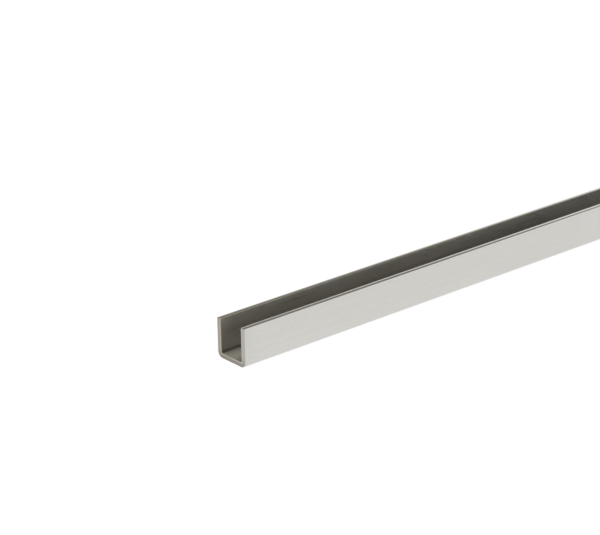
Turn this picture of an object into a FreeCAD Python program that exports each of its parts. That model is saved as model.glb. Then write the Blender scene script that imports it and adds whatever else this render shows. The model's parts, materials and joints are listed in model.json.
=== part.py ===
"""Stainless steel U-channel, 1/2 x 1/2 x 1/16 in, one foot long: one piece of folded strip.

The strip is folded twice, so the section is a square U of one wall thickness with rounded
heels and tight inside corners. The slit edges of the strip are the leg tips. Each tip is
slightly crowned, with a small radius at either side. Both ends are sawn square and lightly
deburred all round.

Frame, in millimetres: +X runs along the length, +Y across the width from leg to leg, +Z up
from the web to the leg tips. The origin is the middle of the web's underside.
"""

import FreeCAD
import Part
import math
import os

Vector = FreeCAD.Vector

# Driving dimensions.
STOCK_LENGTH = 304.8  # one foot, a length that such channel is sold in
OVERALL_WIDTH = 12.7  # 1/2 in, over the outer faces of the legs
OVERALL_HEIGHT = 12.7  # 1/2 in, from the web's underside to the leg tips
WALL = 1.5875  # 1/16 in
INSIDE_BEND_RADIUS = 0.4  # 1/64 in, a tight fold
TIP_CROWN_RADIUS = 3.0  # across the slit edge of the strip, which is slightly domed
TIP_CORNER_RADIUS = 0.15  # at either side of that edge, dressed
END_BREAK = 0.12  # deburring radius round each sawn end


def corner_arc(centre_y, centre_z, radius, from_degrees, to_degrees):
    """An arc of the section, with its angles measured from +Y towards +Z."""

    def on_circle(degrees):
        angle = math.radians(degrees)
        return Vector(
            0, centre_y + radius * math.cos(angle), centre_z + radius * math.sin(angle)
        )

    middle = (from_degrees + to_degrees) / 2
    return Part.Arc(
        on_circle(from_degrees), on_circle(middle), on_circle(to_degrees)
    ).toShape()


def tip_arcs(leg_middle):
    """A leg's crowned tip: a flat arc between two small ones that it touches."""
    across = WALL / 2 - TIP_CORNER_RADIUS
    up = math.sqrt((TIP_CROWN_RADIUS - TIP_CORNER_RADIUS) ** 2 - across**2)
    turn = math.degrees(math.atan2(up, across))
    crown_z = OVERALL_HEIGHT - TIP_CROWN_RADIUS
    corner_z = crown_z + up
    return [
        corner_arc(leg_middle + across, corner_z, TIP_CORNER_RADIUS, 0, turn),
        corner_arc(leg_middle, crown_z, TIP_CROWN_RADIUS, turn, 180 - turn),
        corner_arc(leg_middle - across, corner_z, TIP_CORNER_RADIUS, 180 - turn, 180),
    ]


def section_arcs():
    """The rounded corners of the U, in order, anticlockwise as seen from +X."""
    leg_middle = OVERALL_WIDTH / 2 - WALL / 2
    heel_radius = INSIDE_BEND_RADIUS + WALL
    heel = OVERALL_WIDTH / 2 - heel_radius
    root_y = OVERALL_WIDTH / 2 - WALL - INSIDE_BEND_RADIUS
    root_z = WALL + INSIDE_BEND_RADIUS
    return [
        corner_arc(heel, heel_radius, heel_radius, -90, 0),
        *tip_arcs(leg_middle),
        corner_arc(root_y, root_z, INSIDE_BEND_RADIUS, 0, -90),
        corner_arc(-root_y, root_z, INSIDE_BEND_RADIUS, -90, -180),
        *tip_arcs(-leg_middle),
        corner_arc(-heel, heel_radius, heel_radius, 180, 270),
    ]


def section_face():
    """The U section as a face: the corner arcs, joined by straight flats where they part."""
    arcs = section_arcs()
    touching = 1e-6
    edges = []
    for arc, following in zip(arcs, arcs[1:] + arcs[:1]):
        edges.append(arc)
        flat_start = arc.lastVertex(True).Point
        flat_end = following.firstVertex(True).Point
        if flat_start.distanceToPoint(flat_end) > touching:
            edges.append(Part.LineSegment(flat_start, flat_end).toShape())
    return Part.Face(Part.Wire(edges))


def end_edges(bar):
    """Every edge that lies wholly in one of the two sawn ends."""
    half_length = STOCK_LENGTH / 2
    in_end_plane = 1e-6
    return [
        edge
        for edge in bar.Edges
        if all(
            abs(abs(vertex.X) - half_length) < in_end_plane for vertex in edge.Vertexes
        )
        and edge.Vertexes[0].X * edge.Vertexes[-1].X > 0
    ]


def u_channel():
    """The whole piece: the section drawn out along X, with its sawn ends deburred."""
    section = section_face()
    section.translate(Vector(-STOCK_LENGTH / 2, 0, 0))
    bar = section.extrude(Vector(STOCK_LENGTH, 0, 0))
    return bar.makeFillet(END_BREAK, end_edges(bar)).Solids[0]


def main():
    os.makedirs("parts", exist_ok=True)
    channel = u_channel()
    channel.exportStep("parts/u_channel.step")
    box = channel.optimalBoundingBox(False, False)
    print("valid", channel.isValid(), channel.ShapeType, "faces", len(channel.Faces))
    print("size mm", round(box.XLength, 3), round(box.YLength, 3), round(box.ZLength, 3))
    print("volume mm3", round(channel.Volume, 2))


main()
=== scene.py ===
import json
import math

import bmesh
import bpy
from bpy.props import (
    FloatProperty,
    FloatVectorProperty,
    IntProperty,
    PointerProperty,
)
from bpy.types import Operator, Panel, PropertyGroup
from mathutils import Matrix, Vector


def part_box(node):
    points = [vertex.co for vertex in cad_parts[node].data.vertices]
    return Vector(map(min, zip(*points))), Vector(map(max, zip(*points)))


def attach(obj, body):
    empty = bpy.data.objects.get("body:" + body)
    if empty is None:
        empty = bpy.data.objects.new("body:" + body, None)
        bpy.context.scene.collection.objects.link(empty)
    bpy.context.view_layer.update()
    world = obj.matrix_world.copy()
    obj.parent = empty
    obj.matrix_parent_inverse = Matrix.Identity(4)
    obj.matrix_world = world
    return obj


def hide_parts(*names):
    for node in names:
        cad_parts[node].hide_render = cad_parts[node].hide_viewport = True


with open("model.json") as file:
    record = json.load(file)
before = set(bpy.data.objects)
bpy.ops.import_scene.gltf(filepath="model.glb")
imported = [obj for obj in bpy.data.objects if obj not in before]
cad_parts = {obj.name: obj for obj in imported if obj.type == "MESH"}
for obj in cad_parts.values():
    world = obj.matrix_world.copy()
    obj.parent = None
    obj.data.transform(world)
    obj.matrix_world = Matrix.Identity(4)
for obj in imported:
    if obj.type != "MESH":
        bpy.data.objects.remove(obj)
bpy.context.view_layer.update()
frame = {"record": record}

bl_info = {
    "name": "Stainless steel U-channel",
    "version": (1, 0, 0),
    "blender": (4, 5, 0),
    "location": "3D View > Sidebar > Channel",
    "description": "Models a length of folded stainless steel U-channel and a plain studio for it",
    "category": "Mesh",
}

# What the frame says. Lengths are in metres.
MM = 0.001
LOW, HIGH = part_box("u_channel")
MOUNTS = {mount["name"]: mount for mount in frame["record"]["mounts"]}
WALL = MOUNTS["slot_floor"]["pos_m"][2] - LOW.z
STEEL_COLOUR = frame["record"]["materials"][0]["base_color"]

WHITE = (1, 1, 1, 1)
BLACK = (0, 0, 0, 1)


def length_property(name, description, default):
    """A length in metres that shows to a micrometre."""
    return FloatProperty(
        name=name,
        description=description,
        default=default,
        min=0,
        precision=6,
        subtype="DISTANCE",
        unit="LENGTH",
    )


def share_property(name, description, default, top=1):
    """A plain number from 0 to top."""
    return FloatProperty(
        name=name, description=description, default=default, min=0, max=top
    )


def colour_property(name, description, default):
    """A linear colour."""
    return FloatVectorProperty(
        name=name,
        description=description,
        default=default,
        min=0,
        max=1,
        size=3,
        subtype="COLOR",
    )


class ChannelShape(PropertyGroup):
    """Sizes of the channel."""

    length: length_property("Length", "Length of the bar", HIGH.x - LOW.x)
    width: length_property("Width", "Over the outer faces of the legs", HIGH.y - LOW.y)
    height: length_property("Height", "From the web's underside to the leg tips", HIGH.z - LOW.z)
    wall: length_property("Wall", "Thickness of the strip", WALL)
    bend_radius: length_property("Bend radius", "Inside radius of the two folds", 0.4 * MM)
    tip_crown: length_property(
        "Tip crown", "How far a leg tip's sides lie below its middle", 0.12 * MM
    )
    end_break: length_property("End break", "Deburring radius round a sawn end", 0.12 * MM)
    saw_pitch: length_property("Saw pitch", "Distance between two saw marks", 0.36 * MM)
    saw_depth: length_property("Saw depth", "Height of a saw mark over its neighbour", 0.012 * MM)
    # Painted highlight: the burr strip along the inner edge of a cut is painted brighter.
    burr_highlight_width: length_property(
        "Burr width", "Width of the brighter burr along the inner edge of a cut", 0.35 * MM
    )
    saw_tilt: FloatProperty(
        name="Saw tilt",
        description="Turn of the saw marks out of the web's plane",
        default=math.radians(7),
        subtype="ANGLE",
        unit="ROTATION",
    )
    heel_segments: IntProperty(
        name="Heel segments", description="Facets round an outer bend", default=24, min=2
    )
    edge_segments: IntProperty(
        name="Edge segments", description="Facets round a small edge", default=8, min=2
    )


class SteelFinish(PropertyGroup):
    """Colours and polish of the steel."""

    skin_colour: colour_property("Skin", "The rolled faces", STEEL_COLOUR)
    skin_roughness: share_property("Skin roughness", "Polish of the rolled faces", 0.3)
    slot_floor_roughness: share_property(
        "Slot floor roughness", "Polish of the web between the legs", 0.48
    )
    # Painted shade: share by which the skin colour is darkened towards each inside fold.
    painted_fold_shade: share_property("Fold shade", "How much the steel dims towards a fold", 0.4)
    # Painted shadow: how dark the line painted into the skin colour along each inside corner is.
    painted_corner_shadow: share_property("Fold line", "How dark the line in an inside corner is", 0.8)
    skin_spread: share_property("Skin spread", "How far the grain spreads a reflection crosswise", 0.8)
    sawn_colour: colour_property("Sawn ends", "Bare metal of the cut", (0.466, 0.446, 0.412))
    sawn_back_tint: colour_property(
        "Back cut tint", "Tone of the cut at the back leg against the front leg's", (0.88, 0.81, 0.76)
    )
    sawn_roughness: share_property("Sawn roughness", "Polish of the cut", 0.5)
    tip_colour: colour_property("Slit edge", "The slit edges of the strip", STEEL_COLOUR)
    tip_roughness: share_property("Slit edge roughness", "Polish of the slit edges", 0.12)
    grain_depth: length_property("Grain depth", "Depth of the satin lines", 0.002 * MM)


class StudioSetup(PropertyGroup):
    """The camera, the floor and the light."""

    azimuth: FloatProperty(
        name="Azimuth",
        description="Which way the camera looks; 0 is along +Y",
        default=math.radians(-39.977),
        subtype="ANGLE",
        unit="ROTATION",
    )
    elevation: FloatProperty(
        name="Elevation",
        description="How far the camera looks down",
        default=math.radians(21.715),
        subtype="ANGLE",
        unit="ROTATION",
    )
    roll: FloatProperty(
        name="Roll",
        description="Turn of the camera about its own axis",
        default=math.radians(-1.102),
        subtype="ANGLE",
        unit="ROTATION",
    )
    aim: FloatVectorProperty(
        name="Aim",
        description="Point in the middle of the view, from the foot of the left sawn end",
        default=(22.46 * MM, -5.42 * MM, 25.69 * MM),
        precision=5,
        subtype="TRANSLATION",
        unit="LENGTH",
    )
    distance: length_property("Distance", "From the camera to the aim", 652.46 * MM)
    lens: FloatProperty(
        name="Lens", description="Focal length in millimetres", default=132.71, min=1
    )
    floor_size: length_property("Floor", "Side of the floor", 8.0)
    shadow_share: share_property(
        "Shadow", "Share of the floor's white that comes from the lamps", 0.15
    )
    shadow_core: length_property(
        "Shadow core", "Distance from the bar up to which the floor keeps its full shadow", 0.2
    )
    shadow_reach: length_property(
        "Shadow reach", "Distance from the bar at which the floor is plain white", 0.7
    )
    dull_colour: colour_property(
        "Dull band", "The room between its white walls and its lit ceiling", (0.225, 0.218, 0.174)
    )
    ceiling_level: share_property("Ceiling", "Brightness of the lit ceiling", 1.45, top=10)
    ceiling_tint: colour_property("Ceiling tint", "Colour of the lit ceiling", (1, 0.98, 0.86))
    wall_rise: share_property("Wall top", "Sine of the angle up to which the wall is white", 0.3)
    dull_rise: share_property("Dull band start", "Sine of the angle where the wall ends", 0.55)
    ceiling_rise: share_property("Ceiling edge", "Sine of the angle where the ceiling starts", 0.8)
    lamp_place: FloatVectorProperty(
        name="Lamp place",
        description="Middle of the soft lamp",
        default=(-0.5, -0.6, 1.2),
        subtype="TRANSLATION",
        unit="LENGTH",
    )
    lamp_size: length_property("Lamp size", "Side of the soft square lamp", 1.2)
    lamp_power: share_property("Lamp power", "Power of the soft lamp in watts", 22.0, top=1000)


# Modelling. Everything works on the object in edit mode, by place.


def choose(bar, kind, wanted):
    """Selects only the vertices, edges or faces for which wanted() is true."""
    bpy.ops.mesh.select_mode(type=kind)
    bpy.ops.mesh.select_all(action="DESELECT")
    mesh = bmesh.from_edit_mesh(bar.data)
    mesh.normal_update()
    elements = {"VERT": mesh.verts, "EDGE": mesh.edges, "FACE": mesh.faces}[kind]
    for element in elements:
        if wanted(element):
            element.select_set(True)
    mesh.select_flush_mode()
    bmesh.update_edit_mesh(bar.data)


def near(value, target):
    """True within a micrometre."""
    return abs(value - target) < 0.001 * MM


def add_web(shape):
    """The strip's middle, flat on the floor, as the active object."""
    bpy.ops.object.select_all(action="DESELECT")
    bpy.ops.mesh.primitive_cube_add(
        size=1,
        location=(0, 0, shape.wall / 2),
        scale=(shape.length, shape.width, shape.wall),
    )
    bpy.ops.object.transform_apply(location=True, rotation=True, scale=True)
    web = bpy.context.active_object
    web.name = "channel_bar"
    web.data.name = "channel_bar"
    return web


def raise_legs(bar, shape):
    """Cuts the strip along the two folds and draws its outer parts up into legs."""
    inner_half = shape.width / 2 - shape.wall
    for side in (-1, 1):
        bpy.ops.mesh.select_all(action="SELECT")
        bpy.ops.mesh.bisect(plane_co=(0, side * inner_half, 0), plane_no=(0, 1, 0))
    choose(
        bar,
        "FACE",
        lambda face: face.normal.z > 0.9
        and abs(face.calc_center_median().y) > inner_half,
    )
    bpy.ops.mesh.extrude_region_move(
        TRANSFORM_OT_translate={"value": (0, 0, shape.height - shape.wall)}
    )
    bpy.ops.mesh.select_all(action="SELECT")
    bpy.ops.mesh.dissolve_limited(angle_limit=math.radians(1))


def round_long_edges(bar, across, up, radius, segments):
    """Rounds the two edges that run along the bar at this half-width and height."""
    choose(
        bar,
        "EDGE",
        lambda edge: all(
            near(abs(vertex.co.y), across) and near(vertex.co.z, up)
            for vertex in edge.verts
        )
        and edge.verts[0].co.x * edge.verts[1].co.x < 0,
    )
    bpy.ops.mesh.bevel(
        offset=radius,
        offset_type="OFFSET",
        segments=segments,
        profile=0.5,
        affect="EDGES",
        clamp_overlap=False,
    )


def crown_tips(bar, shape):
    """Draws the small roundings of each leg tip out until they nearly meet in its middle."""
    half = shape.width / 2
    inner_half = half - shape.wall
    reach = shape.tip_crown + 0.001 * MM
    drawn_width = 0.49 * shape.wall
    for side in (-1, 1):
        for rim in (half, inner_half):
            choose(
                bar,
                "VERT",
                lambda vertex: vertex.co.z > shape.height - reach
                and abs(vertex.co.y * side - rim) < reach,
            )
            bpy.ops.transform.resize(
                value=(1, drawn_width / shape.tip_crown, 1),
                center_override=(0, side * rim, shape.height),
            )


def break_ends(bar, shape):
    """Rounds the rim of both sawn ends."""
    half_length = shape.length / 2
    choose(
        bar,
        "EDGE",
        lambda edge: all(near(abs(vertex.co.x), half_length) for vertex in edge.verts)
        and edge.verts[0].co.x * edge.verts[1].co.x > 0,
    )
    bpy.ops.mesh.bevel(
        offset=shape.end_break,
        offset_type="OFFSET",
        segments=3,
        profile=0.5,
        affect="EDGES",
        clamp_overlap=False,
    )


def saw_marks(bar, shape):
    """Ploughs the shallow ridges of the saw blade across both ends.

    Every other line is drawn inwards, and a wave of 2.4 rad a line makes the depths uneven.
    """
    half_length = shape.length / 2
    rise = Vector((0, -math.sin(shape.saw_tilt), math.cos(shape.saw_tilt)))
    reach = shape.width / 2 * math.sin(shape.saw_tilt)
    count = int((shape.height + 2 * reach) / shape.saw_pitch)
    for mark in range(1, count):
        height = mark * shape.saw_pitch - reach
        choose(
            bar,
            "FACE",
            lambda face: abs(face.normal.x) > 0.9
            and near(abs(face.calc_center_median().x), half_length),
        )
        bpy.ops.mesh.bisect(plane_co=rise * height, plane_no=rise)
    for side in (-1, 1):
        for mark in range(1, count):
            height = mark * shape.saw_pitch - reach
            choose(
                bar,
                "VERT",
                lambda vertex: near(vertex.co.x * side, half_length)
                and near(vertex.co.dot(rise), height),
            )
            depth = shape.saw_depth * (1 + math.sin(mark * 2.4 + side)) / 2
            bpy.ops.transform.translate(value=(-side * depth * (mark % 2), 0, 0))


def assign_finishes(bar, shape, finishes):
    """Gives the skin, the sawn ends and the slit edges their material slots."""
    for finish in finishes:
        bar.data.materials.append(finish)
    half_length = shape.length / 2
    choose(
        bar,
        "FACE",
        lambda face: abs(face.calc_center_median().x)
        > half_length - shape.end_break * 1.01,
    )
    bar.active_material_index = 1
    bpy.ops.object.material_slot_assign()
    choose(
        bar,
        "FACE",
        lambda face: face.calc_center_median().z > shape.height - shape.tip_crown
        and face.normal.z > 0.3
        and abs(face.calc_center_median().x) < half_length - shape.end_break,
    )
    bar.active_material_index = 2
    bpy.ops.object.material_slot_assign()


# Materials.


def add_node(tree, kind, inputs=None, **settings):
    """A node with its settings, and its inputs set to values or linked to sockets."""
    node = tree.nodes.new(kind)
    for name, value in settings.items():
        setattr(node, name, value)
    for name, value in (inputs or {}).items():
        if isinstance(value, bpy.types.NodeSocket):
            tree.links.new(value, node.inputs[name])
        else:
            node.inputs[name].default_value = value
    return node


def add_math(tree, operation, first, second=0.0, clamp=False):
    """The output of a Math node."""
    node = add_node(
        tree, "ShaderNodeMath", {0: first, 1: second}, operation=operation, use_clamp=clamp
    )
    return node.outputs[0]


def remap(tree, value, from_low, from_high, to_low=0.0, to_high=1.0, **settings):
    """value carried from one range to another, held at the ends."""
    node = add_node(
        tree,
        "ShaderNodeMapRange",
        {
            "Value": value,
            "From Min": from_low,
            "From Max": from_high,
            "To Min": to_low,
            "To Max": to_high,
        },
        **settings,
    )
    return node.outputs["Result"]


def new_group(name, inputs, outputs):
    """An empty shader node group with plain number sockets, and its two end nodes."""
    tree = bpy.data.node_groups.new(name, "ShaderNodeTree")
    for socket, default in inputs.items():
        made = tree.interface.new_socket(
            socket, in_out="INPUT", socket_type="NodeSocketFloat"
        )
        made.default_value = default
    for socket in outputs:
        tree.interface.new_socket(
            socket, in_out="OUTPUT", socket_type="NodeSocketFloat"
        )
    given = tree.nodes.new("NodeGroupInput")
    result = tree.nodes.new("NodeGroupOutput")
    return tree, given, result


def add_group(tree, group, inputs=None):
    """A group node of the tree, with its inputs set or linked."""
    return add_node(tree, "ShaderNodeGroup", inputs, node_tree=group)


def object_axes(tree):
    """The X, Y and Z of the point that is shaded, in metres."""
    place = add_node(tree, "ShaderNodeTexCoord").outputs["Object"]
    return add_node(tree, "ShaderNodeSeparateXYZ", {0: place}).outputs


def mix_colours(tree, share, first, second, **settings):
    """The colour that is this share of the way from first to second."""
    node = add_node(
        tree, "ShaderNodeMix", {0: share, 6: first, 7: second}, data_type="RGBA", **settings
    )
    return node.outputs[2]


def shade_of(colour, factor):
    """The colour made lighter or darker, as a node input takes it."""
    return (*[channel * factor for channel in colour], 1)


def grain_group():
    """Fine lines along the bar, as a share of full height.

    Along, Across and Up are how many waves a metre holds each way, and Slant turns the lines.
    """
    tree, given, result = new_group(
        "Grain",
        {"Along": 25.0, "Across": 6000.0, "Up": 6000.0, "Detail": 3.0, "Slant": 0.0},
        ["Lines"],
    )
    place = add_node(tree, "ShaderNodeTexCoord").outputs["Object"]
    slant = given.outputs["Slant"]
    angles = add_node(tree, "ShaderNodeCombineXYZ", {"X": slant, "Y": slant, "Z": slant})
    turned = add_node(
        tree,
        "ShaderNodeVectorRotate",
        {"Vector": place, "Rotation": angles.outputs[0]},
        rotation_type="EULER_XYZ",
    )
    waves = add_node(
        tree,
        "ShaderNodeCombineXYZ",
        {"X": given.outputs["Along"], "Y": given.outputs["Across"], "Z": given.outputs["Up"]},
    )
    stretched = add_node(
        tree,
        "ShaderNodeVectorMath",
        {0: turned.outputs[0], 1: waves.outputs[0]},
        operation="MULTIPLY",
    )
    noise = add_node(
        tree,
        "ShaderNodeTexNoise",
        {
            "Vector": stretched.outputs[0],
            "Scale": 1.0,
            "Detail": given.outputs["Detail"],
            "Roughness": 0.6,
        },
    )
    tree.links.new(noise.outputs[0], result.inputs["Lines"])
    return tree


def scratches_group(grain):
    """Sparse hairline scratches from handling, in two slants. Rarity thins them out."""
    tree, given, result = new_group("Handling scratches", {"Rarity": 0.66}, ["Scratches"])
    fade_end = add_math(tree, "ADD", given.outputs["Rarity"], 0.05)
    sets = []
    for slant, along, across in ((0.05, 18.0, 5000.0), (-0.3, 45.0, 4000.0)):
        lines = add_group(
            tree,
            grain,
            {"Along": along, "Across": across, "Up": across, "Detail": 1.0, "Slant": slant},
        )
        sets.append(remap(tree, lines.outputs["Lines"], given.outputs["Rarity"], fade_end))
    either = add_math(tree, "MAXIMUM", sets[0], sets[1])
    tree.links.new(either, result.inputs["Scratches"])
    return tree


def end_wear_group():
    """How near a point is to a sawn end: 0 from Reach inwards, 1 at the end, in metres."""
    tree, given, result = new_group(
        "End wear", {"Half length": 0.15, "Reach": 0.004}, ["Nearness"]
    )
    out = add_math(tree, "ABSOLUTE", object_axes(tree)["X"])
    start = add_math(
        tree, "SUBTRACT", given.outputs["Half length"], given.outputs["Reach"]
    )
    nearness = remap(tree, out, start, given.outputs["Half length"])
    tree.links.new(nearness, result.inputs["Nearness"])
    return tree


def corner_shade_mask_group():
    """Mask for painted shade: how deep a point is in an inside corner: 0 from Reach away, 1 in the
    corner, in metres.
    """
    tree, given, result = new_group(
        "Fold", {"Inner half": 0.005, "Wall": 0.0015, "Reach": 0.003}, ["Depth"]
    )
    axes = object_axes(tree)
    aside = add_math(tree, "ABSOLUTE", axes["Y"])
    inner_half = given.outputs["Inner half"]
    wall = given.outputs["Wall"]
    reach = given.outputs["Reach"]
    near_leg = remap(tree, aside, add_math(tree, "SUBTRACT", inner_half, reach), inner_half)
    near_web = remap(tree, axes["Z"], add_math(tree, "ADD", wall, reach), wall)
    inside = add_math(
        tree, "LESS_THAN", aside, add_math(tree, "ADD", inner_half, 0.1 * MM)
    )
    above = add_math(
        tree, "GREATER_THAN", axes["Z"], add_math(tree, "SUBTRACT", wall, 0.1 * MM)
    )
    in_slot = add_math(tree, "MULTIPLY", inside, above)
    corner = add_math(tree, "MULTIPLY", near_leg, near_web)
    depth = add_math(tree, "MULTIPLY", in_slot, corner)
    tree.links.new(depth, result.inputs["Depth"])
    return tree


def steel_material(name, roughness):
    """A metal with plain values, its tree and its shader."""
    material = bpy.data.materials.new(name)
    material.use_nodes = True
    tree = material.node_tree
    shader = tree.nodes["Principled BSDF"]
    shader.inputs["Metallic"].default_value = 1
    shader.inputs["Roughness"].default_value = roughness
    return material, tree, shader


def add_relief(tree, shader, height, depth):
    """Gives the shader a bump of this depth in metres."""
    bump = add_node(tree, "ShaderNodeBump", {"Height": height, "Distance": depth})
    tree.links.new(bump.outputs[0], shader.inputs["Normal"])


def skin_material(finish, shape, grain, scratches, end_wear, fold):
    """Rolled faces: satin lines along, faint bands and clouds, a few scratches, painted shade
    darkening towards the inside folds, and a painted shadow line in each inside corner.
    """
    material, tree, shader = steel_material("satin_skin", finish.skin_roughness)
    fine = add_group(tree, grain, {"Along": 22.0, "Across": 7000.0, "Up": 7000.0})
    bands = add_group(tree, grain, {"Along": 3.0, "Across": 650.0, "Up": 650.0})
    clouds = add_group(
        tree, grain, {"Along": 35.0, "Across": 110.0, "Up": 110.0, "Detail": 4.0}
    )
    marks = add_group(tree, scratches, {"Rarity": 0.68}).outputs["Scratches"]
    worn = add_group(
        tree, end_wear, {"Half length": shape.length / 2, "Reach": 5 * MM}
    ).outputs["Nearness"]

    both = add_math(tree, "ADD", fine.outputs["Lines"], bands.outputs["Lines"])
    all_three = add_math(tree, "ADD", both, clouds.outputs["Lines"])
    tone = remap(tree, all_three, 1.1, 1.9)
    steel = mix_colours(
        tree, tone, shade_of(finish.skin_colour, 0.93), shade_of(finish.skin_colour, 1.02)
    )
    faint = add_math(tree, "MULTIPLY", marks, 0.4)
    scratched = mix_colours(tree, faint, steel, shade_of(finish.skin_colour, 1.25))
    corner = {"Inner half": shape.width / 2 - shape.wall, "Wall": shape.wall}
    # Painted shade: the skin colour darkens towards each inside fold, where shade falls.
    wide = add_group(tree, fold, {**corner, "Reach": 5 * MM}).outputs["Depth"]
    corner_shadow_depth = add_group(tree, fold, {**corner, "Reach": 0.8 * MM}).outputs["Depth"]
    fold_shade_share = add_math(tree, "MULTIPLY", wide, finish.painted_fold_shade)
    fold_shaded = mix_colours(tree, fold_shade_share, scratched, BLACK)
    # Painted shadow: a dark line painted along each inside corner.
    line = add_math(tree, "MULTIPLY", corner_shadow_depth, finish.painted_corner_shadow)
    corner_shadowed = mix_colours(tree, line, fold_shaded, BLACK)
    tree.links.new(corner_shadowed, shader.inputs["Base Color"])

    axes = object_axes(tree)
    aside = add_math(tree, "ABSOLUTE", axes["Y"])
    inner_half = shape.width / 2 - shape.wall
    between_legs = remap(tree, aside, inner_half + 0.1 * MM, inner_half)
    above_web = remap(tree, axes["Z"], shape.wall - 0.2 * MM, shape.wall - 0.1 * MM)
    low_down = remap(
        tree, axes["Z"], shape.wall + shape.bend_radius, shape.wall + 0.1 * MM
    )
    on_web = add_math(tree, "MULTIPLY", above_web, low_down)
    slot_floor = add_math(tree, "MULTIPLY", between_legs, on_web)
    base = remap(
        tree, slot_floor, 0.0, 1.0, finish.skin_roughness, finish.slot_floor_roughness
    )
    polish = add_math(tree, "ADD", base, remap(tree, tone, 0.0, 1.0, -0.04, 0.04))
    rough = add_math(tree, "ADD", polish, add_math(tree, "MULTIPLY", worn, 0.06))
    scuffed = add_math(tree, "ADD", rough, add_math(tree, "MULTIPLY", marks, 0.1))
    tree.links.new(scuffed, shader.inputs["Roughness"])

    height = add_math(tree, "SUBTRACT", fine.outputs["Lines"], marks)
    add_relief(tree, shader, height, finish.grain_depth)

    shader.inputs["Anisotropic"].default_value = finish.skin_spread
    across = add_node(tree, "ShaderNodeTangent", direction_type="RADIAL", axis="X")
    tree.links.new(across.outputs["Tangent"], shader.inputs["Tangent"])
    return material


def sawn_material(finish, shape, grain):
    """Cut ends: saw lines, painted shade darkening the cut downwards, darker and warmer towards the
    back leg, with a painted highlight on the inner burr.
    """
    material, tree, shader = steel_material("sawn_steel", finish.sawn_roughness)
    lines = add_group(
        tree,
        grain,
        {"Along": 10.0, "Across": 200.0, "Up": 5500.0, "Slant": shape.saw_tilt},
    )
    smear = add_group(
        tree, grain, {"Along": 10.0, "Across": 700.0, "Up": 900.0, "Detail": 4.0}
    )
    axes = object_axes(tree)
    height = axes["Z"]
    aside = add_math(tree, "ABSOLUTE", axes["Y"])

    inner_half = shape.width / 2 - shape.wall
    burr, burr_top = shape.burr_highlight_width, 0.8 * shape.burr_highlight_width
    over_web = remap(tree, height, shape.wall - burr, shape.wall - burr_top)
    beside_slot = remap(tree, aside, inner_half + burr, inner_half + burr_top)
    burr_highlight_mask = add_math(tree, "MULTIPLY", over_web, beside_slot)

    # Painted shade: the cut's colour darkens towards the bottom.
    rise = remap(tree, height, 0.0, 2 * shape.wall)
    strong = add_math(tree, "MULTIPLY", lines.outputs["Lines"], 2.0)
    mottle = add_math(tree, "ADD", strong, smear.outputs["Lines"])
    tone = remap(tree, mottle, 1.1, 1.9)
    dark = mix_colours(
        tree, rise, shade_of(finish.sawn_colour, 0.55), shade_of(finish.sawn_colour, 0.92)
    )
    light = mix_colours(
        tree, rise, shade_of(finish.sawn_colour, 0.68), shade_of(finish.sawn_colour, 1.08)
    )
    cut = mix_colours(tree, tone, dark, light)
    # Painted highlight: the strip along the burr at the inner edge of the cut is painted brighter,
    # standing in for the light its edge catches.
    bright = add_math(tree, "MULTIPLY", burr_highlight_mask, 0.8)
    burr_highlit = mix_colours(tree, bright, cut, shade_of(finish.sawn_colour, 1.3))
    backwards = remap(tree, axes["Y"], -inner_half, inner_half)
    tint = mix_colours(tree, backwards, WHITE, (*finish.sawn_back_tint, 1))
    tinted = mix_colours(tree, 1.0, burr_highlit, tint, blend_type="MULTIPLY")
    tree.links.new(tinted, shader.inputs["Base Color"])

    low = finish.sawn_roughness - 0.08
    high = finish.sawn_roughness + 0.08
    polish = remap(tree, tone, 0.0, 1.0, low, high)
    tree.links.new(polish, shader.inputs["Roughness"])
    add_relief(tree, shader, lines.outputs["Lines"], 5 * finish.grain_depth)
    return material


def tip_material(finish, shape, grain, scratches, end_wear):
    """Slit edges: burnished lines along, and the cutter's short crosswise chatter."""
    material, tree, shader = steel_material("slit_edge", finish.tip_roughness)
    fine = add_group(tree, grain, {"Along": 40.0, "Across": 9000.0, "Up": 9000.0})
    chatter = add_group(
        tree, grain, {"Along": 2600.0, "Across": 500.0, "Up": 500.0, "Detail": 2.0}
    )
    marks = add_group(tree, scratches, {"Rarity": 0.62}).outputs["Scratches"]
    worn = add_group(
        tree, end_wear, {"Half length": shape.length / 2, "Reach": 3 * MM}
    ).outputs["Nearness"]

    texture = add_math(tree, "ADD", fine.outputs["Lines"], chatter.outputs["Lines"])
    tone = remap(tree, texture, 0.7, 1.3)
    steel = mix_colours(
        tree, tone, shade_of(finish.tip_colour, 0.9), shade_of(finish.tip_colour, 1.08)
    )
    faint = add_math(tree, "MULTIPLY", marks, 0.3)
    scratched = mix_colours(tree, faint, steel, shade_of(finish.tip_colour, 1.2))
    tree.links.new(scratched, shader.inputs["Base Color"])

    low = finish.tip_roughness - 0.04
    high = finish.tip_roughness + 0.06
    polish = remap(tree, tone, 0.0, 1.0, low, high)
    rough = add_math(tree, "ADD", polish, add_math(tree, "MULTIPLY", worn, 0.08))
    tree.links.new(rough, shader.inputs["Roughness"])
    add_relief(tree, shader, texture, finish.grain_depth)
    return material


def channel_finishes(finish, shape):
    """The three finishes, in the order of the bar's material slots."""
    grain = grain_group()
    scratches = scratches_group(grain)
    end_wear = end_wear_group()
    return [
        skin_material(finish, shape, grain, scratches, end_wear, corner_shade_mask_group()),
        sawn_material(finish, shape, grain),
        tip_material(finish, shape, grain, scratches, end_wear),
    ]


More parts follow.
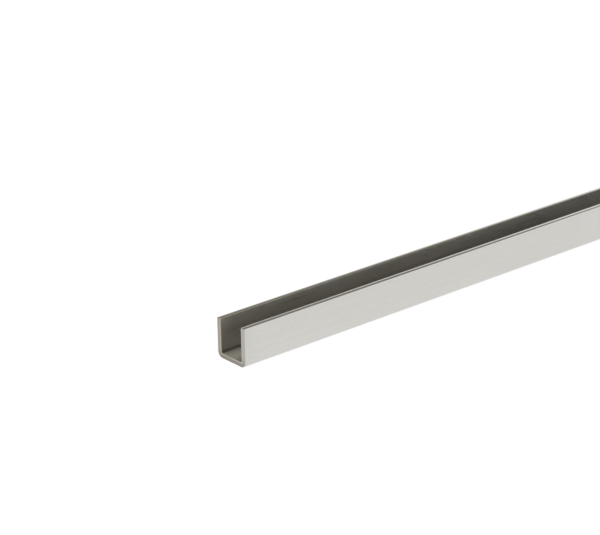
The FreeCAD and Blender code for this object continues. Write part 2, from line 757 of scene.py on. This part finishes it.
class CHANNEL_OT_model_bar(Operator):
    """Model the length of channel and give it its steel"""

    bl_idname = "channel.model_bar"
    bl_label = "Model the bar"

    def execute(self, context):
        shape = context.scene.channel_shape
        finish = context.scene.channel_finish
        bar = add_web(shape)
        bpy.ops.object.mode_set(mode="EDIT")
        raise_legs(bar, shape)
        half = shape.width / 2
        inner_half = half - shape.wall
        round_long_edges(bar, half, 0, shape.bend_radius + shape.wall, shape.heel_segments)
        round_long_edges(bar, inner_half, shape.wall, shape.bend_radius, shape.edge_segments)
        round_long_edges(bar, half, shape.height, shape.tip_crown, shape.edge_segments)
        round_long_edges(bar, inner_half, shape.height, shape.tip_crown, shape.edge_segments)
        crown_tips(bar, shape)
        break_ends(bar, shape)
        saw_marks(bar, shape)
        assign_finishes(bar, shape, channel_finishes(finish, shape))
        bpy.ops.mesh.select_all(action="SELECT")
        bpy.ops.mesh.normals_make_consistent(inside=False)
        bpy.ops.object.mode_set(mode="OBJECT")
        bpy.ops.object.shade_smooth_by_angle(angle=math.radians(30))
        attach(bar, "root")
        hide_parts("u_channel")
        return {"FINISHED"}


def add_camera(studio):
    """The camera, aimed at a point beside the left sawn end."""
    turn = (
        Matrix.Rotation(studio.azimuth, 4, "Z")
        @ Matrix.Rotation(math.pi / 2 - studio.elevation, 4, "X")
        @ Matrix.Rotation(studio.roll, 4, "Z")
    )
    aim = Vector((LOW.x, 0, LOW.z)) + Vector(studio.aim)
    back = turn.to_3x3() @ Vector((0, 0, 1))
    bpy.ops.object.camera_add()
    camera = bpy.context.active_object
    camera.name = "studio_camera"
    camera.matrix_world = Matrix.Translation(aim + back * studio.distance) @ turn
    camera.data.lens = studio.lens
    camera.data.clip_start = 10 * MM
    camera.data.clip_end = 20
    bpy.context.scene.camera = camera


def white_for_sight(tree, path):
    """1 for a ray that sees the floor directly, in a mirror or through glass."""
    seen = add_math(
        tree, "ADD", path.outputs["Is Camera Ray"], path.outputs["Is Glossy Ray"], clamp=True
    )
    return add_math(tree, "ADD", seen, path.outputs["Is Transmission Ray"], clamp=True)


def add_floor(studio):
    """A wide white floor that keeps the bar's shadow."""
    bpy.ops.object.select_all(action="DESELECT")
    bpy.ops.mesh.primitive_plane_add(size=studio.floor_size, location=(0, 0, LOW.z))
    bpy.ops.object.transform_apply(location=True, rotation=True, scale=True)
    floor = bpy.context.active_object
    floor.name = "studio_floor"
    material = bpy.data.materials.new("floor_white")
    material.use_nodes = True
    tree = material.node_tree
    tree.nodes.clear()
    path = add_node(tree, "ShaderNodeLightPath")
    place = add_node(tree, "ShaderNodeTexCoord").outputs["Object"]
    away = add_node(tree, "ShaderNodeVectorMath", {0: place}, operation="LENGTH")
    share = remap(
        tree,
        away.outputs["Value"],
        studio.shadow_core,
        studio.shadow_reach,
        studio.shadow_share,
        0.0,
    )
    lit = add_node(tree, "ShaderNodeBsdfDiffuse", {"Color": share})
    rest = add_math(tree, "SUBTRACT", 1.0, share)
    glow = add_node(tree, "ShaderNodeEmission", {"Strength": rest})
    shown = add_node(
        tree, "ShaderNodeAddShader", {0: lit.outputs[0], 1: glow.outputs[0]}
    )
    plain = add_node(tree, "ShaderNodeBsdfDiffuse", {"Color": (0.8, 0.8, 0.8, 1)})
    both = add_node(
        tree,
        "ShaderNodeMixShader",
        {0: white_for_sight(tree, path), 1: plain.outputs[0], 2: shown.outputs[0]},
    )
    add_node(tree, "ShaderNodeOutputMaterial", {"Surface": both.outputs[0]})
    floor.data.materials.append(material)


def add_room(studio):
    """The room: white to the camera; as light, white walls, a dull band and a lit ceiling."""
    world = bpy.data.worlds.new("studio_room")
    bpy.context.scene.world = world
    world.use_nodes = True
    tree = world.node_tree
    tree.nodes.clear()
    path = add_node(tree, "ShaderNodeLightPath")
    direction = add_node(tree, "ShaderNodeTexCoord").outputs["Generated"]
    height = add_node(tree, "ShaderNodeSeparateXYZ", {0: direction}).outputs["Z"]
    above_wall = remap(
        tree, height, studio.wall_rise, studio.dull_rise, interpolation_type="SMOOTHSTEP"
    )
    overhead = remap(
        tree, height, studio.ceiling_rise, 1.0, interpolation_type="SMOOTHSTEP"
    )
    ceiling = shade_of(studio.ceiling_tint, studio.ceiling_level)
    sides = mix_colours(tree, above_wall, WHITE, (*studio.dull_colour, 1))
    room = mix_colours(tree, overhead, sides, ceiling)
    shown = mix_colours(tree, path.outputs["Is Camera Ray"], room, WHITE)
    light = add_node(tree, "ShaderNodeBackground", {"Color": shown})
    add_node(tree, "ShaderNodeOutputWorld", {"Surface": light.outputs[0]})


def add_lamp(studio):
    """A soft square lamp that points at the bar and isn't mirrored in it."""
    place = Vector(studio.lamp_place)
    bpy.ops.object.light_add(type="AREA", location=place)
    lamp = bpy.context.active_object
    lamp.name = "soft_key"
    lamp.data.size = studio.lamp_size
    lamp.data.energy = studio.lamp_power
    lamp.rotation_mode = "QUATERNION"
    lamp.rotation_quaternion = (-place).to_track_quat("-Z", "Y")
    lamp.visible_glossy = False
    lamp.visible_camera = False


class CHANNEL_OT_lay_studio(Operator):
    """Lay out the camera, the floor, the room and the lamp"""

    bl_idname = "channel.lay_studio"
    bl_label = "Lay out the studio"

    def execute(self, context):
        studio = context.scene.channel_studio
        add_camera(studio)
        add_floor(studio)
        add_room(studio)
        add_lamp(studio)
        context.scene.view_settings.view_transform = "Standard"
        return {"FINISHED"}


class CHANNEL_PT_sidebar(Panel):
    """The channel's tools and sizes"""

    bl_idname = "CHANNEL_PT_sidebar"
    bl_label = "U-channel"
    bl_space_type = "VIEW_3D"
    bl_region_type = "UI"
    bl_category = "Channel"

    def draw(self, context):
        for operator in OPERATORS:
            self.layout.operator(operator.bl_idname)
        for group in SCENE_GROUPS:
            held = getattr(context.scene, group)
            for name in held.__annotations__:
                self.layout.prop(held, name)


OPERATORS = (CHANNEL_OT_model_bar, CHANNEL_OT_lay_studio)
SCENE_GROUPS = {
    "channel_shape": ChannelShape,
    "channel_finish": SteelFinish,
    "channel_studio": StudioSetup,
}


def register():
    for group in SCENE_GROUPS.values():
        bpy.utils.register_class(group)
    for operator in OPERATORS:
        bpy.utils.register_class(operator)
    bpy.utils.register_class(CHANNEL_PT_sidebar)
    for name, group in SCENE_GROUPS.items():
        setattr(bpy.types.Scene, name, PointerProperty(type=group))


def unregister():
    for name in SCENE_GROUPS:
        delattr(bpy.types.Scene, name)
    bpy.utils.unregister_class(CHANNEL_PT_sidebar)
    for operator in reversed(OPERATORS):
        bpy.utils.unregister_class(operator)
    for group in reversed(SCENE_GROUPS.values()):
        bpy.utils.unregister_class(group)


def main():
    register()
    bpy.ops.channel.model_bar()
    bpy.ops.channel.lay_studio()


if __name__ == "__main__":
    main()
